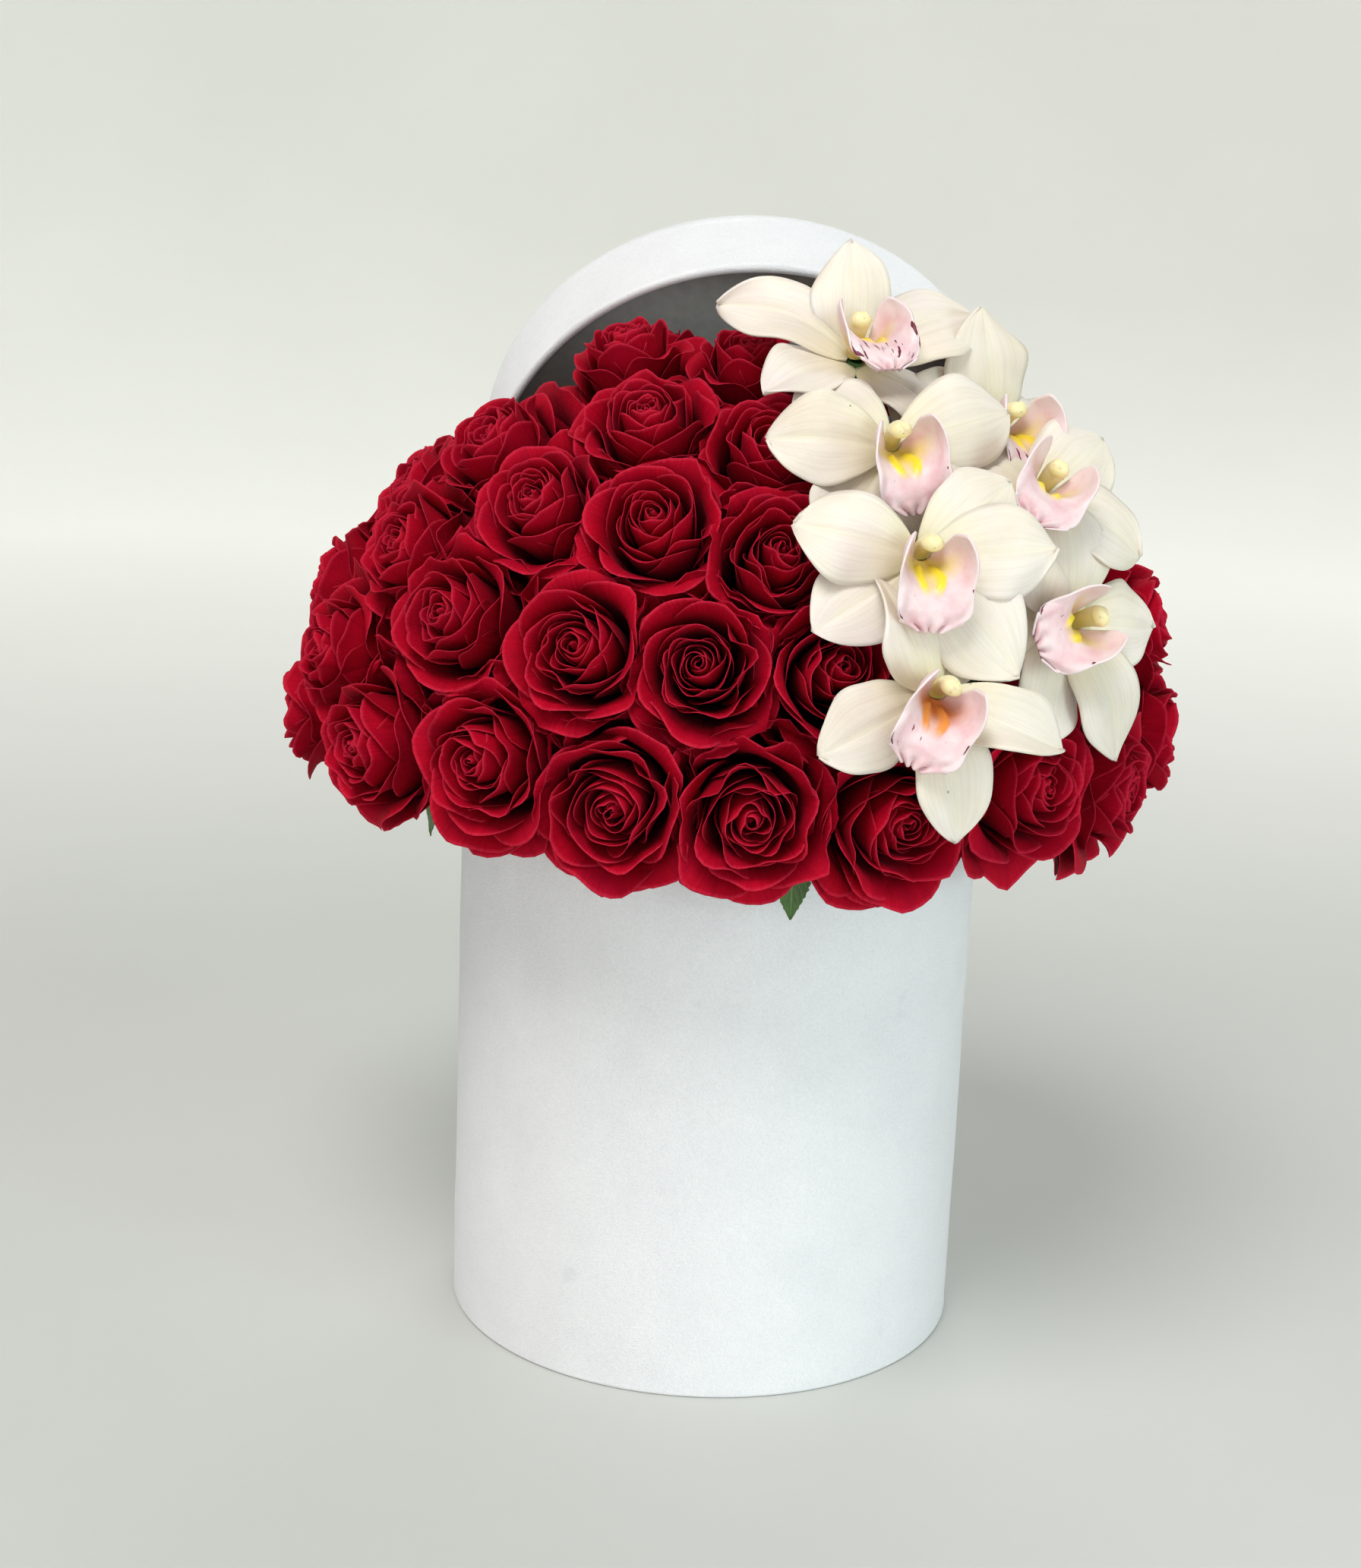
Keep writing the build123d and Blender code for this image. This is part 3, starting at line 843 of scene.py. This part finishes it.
def tepal(rng, name, own):
    """One orchid tepal along +Y from the heart, facing +Z, in millimetres, with its leaf coordinates.

    It has its own lean back, twist and fold, in degrees, and its own length and width beside the others'."""
    sepal = name.startswith("sepal") or name == "dorsal"
    length = TEPAL_LENGTH * rng.uniform(0.96, 1.04) * own["long"]
    width = TEPAL_WIDTH * (0.92 if sepal else 1.0) * rng.uniform(0.96, 1.04) * own["wide"]
    u, s = np.meshgrid(np.linspace(-1, 1, 19), np.linspace(0, 1, 27) ** 0.9)
    outline = 0.25 * (1 - s) ** 1.2 + np.maximum(np.sin(pi * s ** 1.22), 0) ** 0.72
    notches = np.sin(s * rng.uniform(8, 15) + rng.uniform(0, 6) + 2 * np.sign(u))
    uneven = 1 + 0.035 * notches * smooth(0.2, 0.5, s)
    half = 0.5 * width * np.maximum(outline, 0.03) * uneven
    forward = radians(rng.uniform(12, 26) if sepal else rng.uniform(18, 34))
    back = radians(rng.uniform(-30, -10) if sepal else rng.uniform(-34, -16))
    slope = forward + (back - forward) * smooth(0.0, 1.0, s) - radians(own["lean"]) * smooth(0.0, 0.3, s)
    step = np.diff(s, axis=0, prepend=0) * length
    y = np.cumsum(np.cos(slope) * step, axis=0)
    midrib = np.cumsum(np.sin(slope) * step, axis=0)
    sway = length * rng.normal(0, 0.05) * s ** 2
    fold = radians(own["fold"]) * smooth(0.05, 0.4, s)
    rise = tepal_relief(rng, u, s, half, sepal, fold)
    twist = radians(rng.normal(0, 12)) * s + radians(own["twist"]) * smooth(0.05, 0.7, s)
    spread = half * u * np.cos(fold)
    x = spread * np.cos(twist) - rise * np.sin(twist) + sway
    z = spread * np.sin(twist) + rise * np.cos(twist) + midrib
    return np.stack([x, y + 2.5, z], axis=-1), np.stack([u, s, 0 * u + rng.uniform(0, 5)], axis=-1)


def lip_sheet(rng):
    """The lip: two side lobes that stand up round the column, a front lobe that curls down, two keels."""
    u, s = np.meshgrid(np.linspace(-1, 1, 41), 1 - (1 - np.linspace(0, 1, 41)) ** 1.25)
    stations = [0, 0.15, 0.3, 0.45, 0.55, 0.65, 0.8, 0.92, 1.0]
    y = curve(s, stations, [-1.5, -4, -6.4, -8.8, -11, -13.6, -18.6, -22.6, -25.0])
    z = curve(s, stations, [1, 4.5, 8.2, 11.6, 13.4, 14.8, 15.8, 14.6, 12.4])
    width = curve(s, stations, [5, 12, 20, 24, 20, 14.2, 13.0, 10.8, 4.5])
    cup = np.radians(curve(s, stations, [100, 122, 133, 127, 97, 52, 18, -8, -18]))
    normal_y = curve(s, stations, [0.80, 0.83, 0.85, 0.80, 0.68, 0.45, 0.02, -0.4, -0.6])
    normal_z = np.sqrt(1 - normal_y ** 2)
    radius = width / (np.abs(cup) + 1e-3)
    signed = np.sign(cup) * radius
    x = radius * np.sin(np.abs(cup) * u)
    rise = signed * (1 - np.cos(cup * u))
    keels = 1.5 * np.exp(-((np.abs(u) - 0.15) / 0.055) ** 2)
    keels = keels * smooth(0.1, 0.25, s) * (1 - smooth(0.56, 0.68, s))
    frill = rng.uniform(1.0, 1.5) * np.sin(9 * u + 17 * s + rng.uniform(0, 6)) * smooth(0.6, 1.0, np.abs(u))
    frill = frill * smooth(0.35, 0.7, s) + 1.3 * np.sin(12 * u + rng.uniform(0, 6)) * smooth(0.84, 1.0, s)
    lift = rise + keels + frill
    points = np.stack([x, y + normal_y * lift, z + normal_z * lift], axis=-1)
    return points, np.stack([u, s, 0 * u], axis=-1)


def column_tube():
    """The column: a short thick stalk that arches over the lip, ending in a rounded, grooved anther cap."""
    s = np.array([0, 0.12, 0.26, 0.42, 0.56, 0.66, 0.72, 0.76, 0.82, 0.88, 0.93, 0.97, 0.99, 1.0])
    radius = np.array([3.2, 3.0, 3.1, 3.3, 3.6, 3.8, 3.85, 3.55, 3.8, 3.75, 3.3, 2.4, 1.3, 0.2])
    turn = np.arange(28) * 2 * pi / 28
    y = 1.0 + 3.8 * np.sin(pi * s * 0.78) - 2.2 * s
    z = 15.5 * s
    flat = 1 - 0.42 * np.clip(-np.sin(turn), 0, 1)
    groove = 1 - 0.16 * np.exp(-((turn - pi / 2) / 0.20) ** 2)
    ring = radius[:, None] * flat * np.where(s[:, None] > 0.78, groove, 1.0)
    bend = -0.75 * s[:, None] ** 1.5
    x = ring * np.cos(turn)
    up = ring * np.sin(turn)
    points = np.stack([x, y[:, None] + up * np.cos(bend), z[:, None] - up * np.sin(bend)], axis=-1)
    return points.reshape(-1, 3), tube_faces(len(s), len(turn)), np.repeat(s, len(turn))


def bloom_frame(seat, look):
    """The bloom's right, up and out directions."""
    side, over = seat_frame(seat["way"])
    axes = Matrix((side, over, seat["way"])).transposed()
    turn, bow, roll = [radians(angle) for angle in look["pose"]]
    axes = Matrix.Rotation(turn, 3, "Z") @ axes
    axes = Matrix.Rotation(bow, 3, axes.col[0].copy()) @ axes
    axes = Matrix.Rotation(-roll, 3, axes.col[2].copy()) @ axes
    return [np.array(axes.col[n]) for n in range(3)]


def bloom_heart(seat, look):
    right, up, deeper = look["move"]
    side, over = seat_frame(seat["way"])
    return seat["middle"] + (side * right + over * up - seat["way"] * deeper) * MM


def lift_over_roses(points, seats):
    """Moves a petal's points out along each rose they would sink into, so that it lies on the rose's face."""
    for seat in seats:
        offset = points - STEM_AIM
        reach = offset @ seat["way"]
        apart = np.linalg.norm(offset - reach[..., None] * seat["way"], axis=-1)
        near = 1 - smooth(seat["radius"] * 0.75, seat["radius"] * 1.45, apart)
        short = np.clip(seat["face"] + 1.5 * MM - reach, 0, None) * (reach > seat["foot"])
        points = points + (near * short)[..., None] * seat["way"]
    return points


def bloom_parts(rng, seat, look, rose_seats_near):
    """The tepals, lip and column of one bloom, as parts with a material number each."""
    right, up, out = bloom_frame(seat, look)
    heart = bloom_heart(seat, look)
    tint = np.array([look["spots"], look["orange"], 0.0])
    parts = []
    for name, angle in TEPAL_ANGLES.items():
        own = {**NO_CHANGE, **look["tepals"].get(name, {})}
        bearing = radians(angle + own["turn"] + rng.normal(0, 3))
        upward = max(0.0, cos(bearing + radians(look["pose"][2])))
        own["lean"] += look["pose"][1] * 0.9 * upward
        shape, place = tepal(rng, name, own)
        shape[..., 2] += 0.0 if name.startswith("petal") else -2.2
        along = up * cos(bearing) + right * sin(bearing)
        across = np.cross(along, out)
        world = turned(shape * MM, across, along, out, heart)
        world = lift_over_roses(world, rose_seats_near)
        vertices, faces = sheet(world, 0.9 * MM)
        values = {"petal": both_sides(place), "tint": np.tile(tint, (len(vertices), 1))}
        parts.append((vertices, faces, values, 0))
    shape, place = lip_sheet(rng)
    vertices, faces = sheet(turned(shape * MM, right, up, out, heart), 0.7 * MM)
    values = {"petal": both_sides(place), "tint": np.tile(tint, (len(vertices), 1))}
    parts.append((vertices, faces, values, 1))
    shape, faces, along = column_tube()
    vertices = turned(shape * MM, right, up, out, heart)
    place = np.stack([0 * along, along, 0 * along], axis=-1)
    parts.append((vertices, faces, {"petal": place, "tint": np.tile(tint, (len(vertices), 1))}, 2))
    return parts


def column_material():
    """Orchid column: cream, turning yellow at its cap, with fine pink freckles."""
    material, shader, add, link = new_material("orchid_column")
    petal = attribute(add, "petal")
    where = add("ShaderNodeSeparateXYZ", {"Vector": petal})
    place = object_place(add)
    cloud = noise(add, 260, 3, place)
    body = ramp(add, where.outputs["Y"], [(0.20, (0.60, 0.47, 0.12)), (0.55, (0.80, 0.70, 0.36)),
                                          (0.76, (0.84, 0.77, 0.52)), (0.84, (0.86, 0.77, 0.42))])
    freckles = ramp(add, cloud, [(0.60, 0), (0.72, 0.5)])
    freckled = mix(add, freckles, body, (0.62, 0.36, 0.30))
    link(freckled, "Base Color")
    link(bump(add, cloud, 0.2, 0.0004), "Normal")
    shader.inputs["Roughness"].default_value = 0.38
    return material


def pedicel_parts(points, heart, out):
    """An orchid's own stalk, from its CAD place in the foam to the back of the bloom, with a ribbed ovary."""
    way = heart - points.mean(axis=0)
    way /= np.linalg.norm(way)
    reach = points @ way
    foot = points[reach < reach.min() + 0.8 * MM].mean(axis=0)
    s = np.linspace(0, 1, 25)[:, None]
    elbow = heart - out * 26 * MM
    line = foot * (1 - s) ** 2 + 2 * elbow * s * (1 - s) + (heart - out * 0.5 * MM) * s ** 2
    radius = 1.8 + 1.5 * smooth(0.55, 0.78, s[:, 0]) * (1 - 0.35 * smooth(0.9, 1.0, s[:, 0]))
    ahead = np.gradient(line, axis=0)
    ahead /= np.linalg.norm(ahead, axis=1, keepdims=True)
    side = np.cross(ahead, [0.0, 0.0, 1.0])
    side /= np.linalg.norm(side, axis=1, keepdims=True)
    over = np.cross(side, ahead)
    turn = np.arange(18) * 2 * pi / 18
    ribbed = radius[:, None] * (1 + 0.09 * np.cos(3 * turn) * smooth(0.5, 0.7, s))
    ring = side[:, None] * np.cos(turn)[None, :, None] + over[:, None] * np.sin(turn)[None, :, None]
    vertices = line[:, None] + ring * ribbed[..., None] * MM
    place = np.stack([0.5 + 0 * ribbed, np.broadcast_to(s, ribbed.shape), 0 * ribbed], axis=-1)
    return vertices.reshape(-1, 3), tube_faces(len(s), len(turn)), {"petal": place.reshape(-1, 3)}


def build_pedicels(material):
    """The orchids' stalks, each matched to the CAD stalk that starts nearest below its bloom."""
    stalks = islands("orchid_pedicels")
    parts = []
    for node, look in BLOOMS.items():
        seat = bloom_seat(islands(node)[0])
        heart = bloom_heart(seat, look)
        out = bloom_frame(seat, look)[2]
        nearest = min(stalks, key=lambda points: np.linalg.norm(points - seat["middle"], axis=1).min())
        parts.append(pedicel_parts(nearest, heart, out))
    vertices, faces, attributes = join_parts(parts)
    pedicels = make_object("orchid_stalks", vertices, faces, [material], attributes)
    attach(pedicels, "insert")
    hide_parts("orchid_pedicels")


def build_orchids(seats):
    materials = [tepal_material(), lip_material(), column_material()]
    roses = [seat for group in seats.values() for seat in group]
    for number, (node, look) in enumerate(BLOOMS.items()):
        seat = bloom_seat(islands(node)[0])
        near = [rose for rose in roses if rose["way"] @ seat["way"] > cos(radians(40))]
        parts = bloom_parts(np.random.default_rng(40 + number), seat, look, near)
        vertices, faces, attributes = join_parts([part[:3] for part in parts])
        kinds = np.concatenate([np.full(len(part[1]), part[3]) for part in parts])
        bloom = make_object(node + "_bloom", vertices, faces, materials, attributes, kinds)
        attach(bloom, "insert")
        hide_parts(node)


# ---------------------------------------------------------------- velvet wraps

VELVET = 0.8 * MM     # the cloth's thickness, as in the CAD


def section(outer, inner, foot, depth, hem):
    """The wrap's closed section as (radius, depth from the mouth) points: a round lip, a soft far edge."""
    lip = (outer - inner) / 2
    edge = 1.4 * MM if outer - foot > 2 * VELVET else 0.0
    points = [(outer, z) for z in np.linspace(depth - edge, lip, 60)]
    points += [(inner + lip + lip * cos(a), lip - lip * sin(a)) for a in np.linspace(0.2, pi - 0.2, 14)]
    points += [(inner, z) for z in np.linspace(lip, hem, 12)]
    points += [(inner + VELVET, hem), (inner + VELVET, VELVET), (outer - VELVET, VELVET)]
    if not edge:
        return points + [(outer - VELVET, depth)]
    points += [(outer - VELVET, depth - VELVET), (foot, depth - VELVET), (foot, depth)]
    corner = [(edge * sin(a), edge * cos(a)) for a in np.linspace(0, 1.4, 6)]
    return points + [(outer - edge + across, depth - edge + down) for across, down in corner]


def build_wrap(node, name, body, out_of_mouth, material):
    """Wraps velvet round a tube at its CAD sizes, with a rounded lip and the waviness of glued cloth."""
    points = np.array([vertex.co for vertex in frame["nodes"][node].data.vertices])
    way = np.array(out_of_mouth) / np.linalg.norm(out_of_mouth)
    side, over = seat_frame(way)
    centre = sum(0.5 * ((points @ axis).max() + (points @ axis).min()) * axis for axis in (side, over))
    reach = points @ way
    off = np.linalg.norm(points - centre - np.outer(reach, way), axis=1)
    inner = off[reach > reach.max() - VELVET / 2].min()
    foot = off[reach < reach.min() + VELVET / 2].min()
    depth = reach.max() - reach.min()
    hem = reach.max() - reach[off < inner + VELVET / 2].min()
    profile = np.array(section(off.max(), inner, foot, depth, min(hem, depth / 2)))
    radius, down = profile[:, :1], profile[:, 1:]
    turn = np.arange(240) * 2 * pi / 240
    waves = 0.10 * np.sin(5 * turn + 55 * down) + 0.07 * np.sin(11 * turn - 90 * down + 2)
    waves = waves + 0.05 * np.sin(23 * turn + 160 * down + 4) - 0.15
    bare = (radius > inner + 1.5 * VELVET) & (radius > foot + VELVET / 2) & (down < depth - 3 * MM)
    wide = radius + waves * bare * MM
    height = reach.max() - down + 0.12 * MM * (np.sin(7 * turn + 1) - 1) * (down < VELVET)
    rings = side * (wide * np.cos(turn))[..., None] + over * (wide * np.sin(turn))[..., None]
    vertices = centre + rings + way * height[..., None]
    index = np.arange(vertices[..., 0].size).reshape(len(profile), len(turn))
    after, below = np.roll(index, -1, axis=1), np.roll(index, -1, axis=0)
    faces = np.stack([index, below, np.roll(below, -1, axis=1), after], axis=-1).reshape(-1, 4)
    wrap = make_object(name, vertices.reshape(-1, 3), faces, [material])
    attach(wrap, body)
    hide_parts(node)


# ---------------------------------------------------------------- floor

def floor_material():
    """Pale painted board with painted light far away, where the studio lights don't reach: it turns paler
    there and glows faintly.
    """
    material, shader, add, link = new_material("studio_floor")
    place = object_place(add)
    away = add("ShaderNodeVectorMath", {0: place}, operation="LENGTH").outputs["Value"]
    share = compute(add, "MULTIPLY", away, 1 / 3.4)
    # Painted light: the board grows paler and glows with distance, where the lamps give little light.
    tone = ramp(add, share, [(0.15, (0.62, 0.63, 0.60)), (0.60, (0.88, 0.89, 0.85))])
    painted_glow = ramp(add, share, [(0.13, 0), (0.62, (0.30, 0.30, 0.28)), (0.80, (0.20, 0.20, 0.187)),
                             (1.0, (0.06, 0.06, 0.056))])
    cloud = ramp(add, noise(add, 3, 5, place), [(0.32, 0.96), (0.68, 1)])
    link(mix(add, 1.0, tone, cloud, "MULTIPLY"), "Base Color")
    link(painted_glow, "Emission Color")
    shader.inputs["Emission Strength"].default_value = 1.0
    shader.inputs["Roughness"].default_value = 0.6
    return material


def build_floor():
    """A pale round floor that curves up all round into a low backdrop."""
    reach, bend, top = 2.0, 1.0, 1.8
    profile = [(0.01, 0.0)] + [(r, 0.0) for r in np.linspace(0.4, reach, 6)]
    profile += [(reach + bend * sin(a), bend - bend * cos(a)) for a in np.linspace(0.1, pi / 2, 14)]
    profile += [(reach + bend, top)]
    vertices, faces = lathe(profile, 96)
    make_object("floor", vertices, faces, [floor_material()])


# ---------------------------------------------------------------- build

def paint(material, *nodes):
    """Gives CAD nodes a better material."""
    for node in nodes:
        for place in frame["nodes"][node].material_slots:
            place.material = material


def paint_cad_nodes():
    velvet = velvet_material()
    paint(velvet, "box_underside_velvet", "lid_top_velvet")
    pull_off = next(joint["axis"] for joint in frame["joints"] if joint["name"] == "lid_pull_off")
    build_wrap("box_velvet_wrap", "box_velvet", "box", (0, 0, 1), velvet)
    build_wrap("lid_velvet_wrap", "lid_velvet", "lid", [-part for part in pull_off], velvet)
    board = plain_material("cardboard", (0.36, 0.25, 0.15), (0.46, 0.34, 0.21), 160, 0.9)
    paint(board, "box_wall", "box_base", "lid_wall", "lid_top_board")
    # Painted shade: the white lining paper is coloured a darker grey-brown, as it looks in the shade inside
    # the box and lid.
    paper_in_painted_shade = plain_material("lining_paper", (0.42, 0.40, 0.38), (0.50, 0.48, 0.46), 240, 0.8)
    paint(paper_in_painted_shade, "box_inner_lining", "box_floor_lining", "lid_lining")
    plastic = plain_material("liner_plastic", (0.03, 0.03, 0.032), (0.05, 0.05, 0.052), 60, 0.35)
    paint(plastic, "waterproof_liner")
    paint(foam_material("damp_foam", (0.030, 0.085, 0.040), (0.060, 0.150, 0.070)), "foam_block")
    # The dome's foam is coloured far darker than the block's.
    paint(foam_material("soaked_foam", (0.006, 0.022, 0.009), (0.014, 0.045, 0.018)), "foam_dome")
    paint(plain_material("bamboo", (0.50, 0.34, 0.15), (0.68, 0.50, 0.26), 90, 0.6), "lid_skewers")
    paint(plain_material("hot_glue", (0.62, 0.60, 0.54), (0.74, 0.72, 0.66), 120, 0.25), "skewer_glue")
    stem = plain_material("green_stem", (0.020, 0.075, 0.014), (0.055, 0.14, 0.030), 130, 0.5)
    paint(stem, "rose_stems")
    return stem


place_camera()
place_lights()
build_floor()
green_stem = paint_cad_nodes()
roses = rose_seats()
build_roses(roses, rose_material())
build_hips(roses, green_stem)
build_leaves(leaf_material())
build_orchids(roses)
build_pedicels(green_stem)
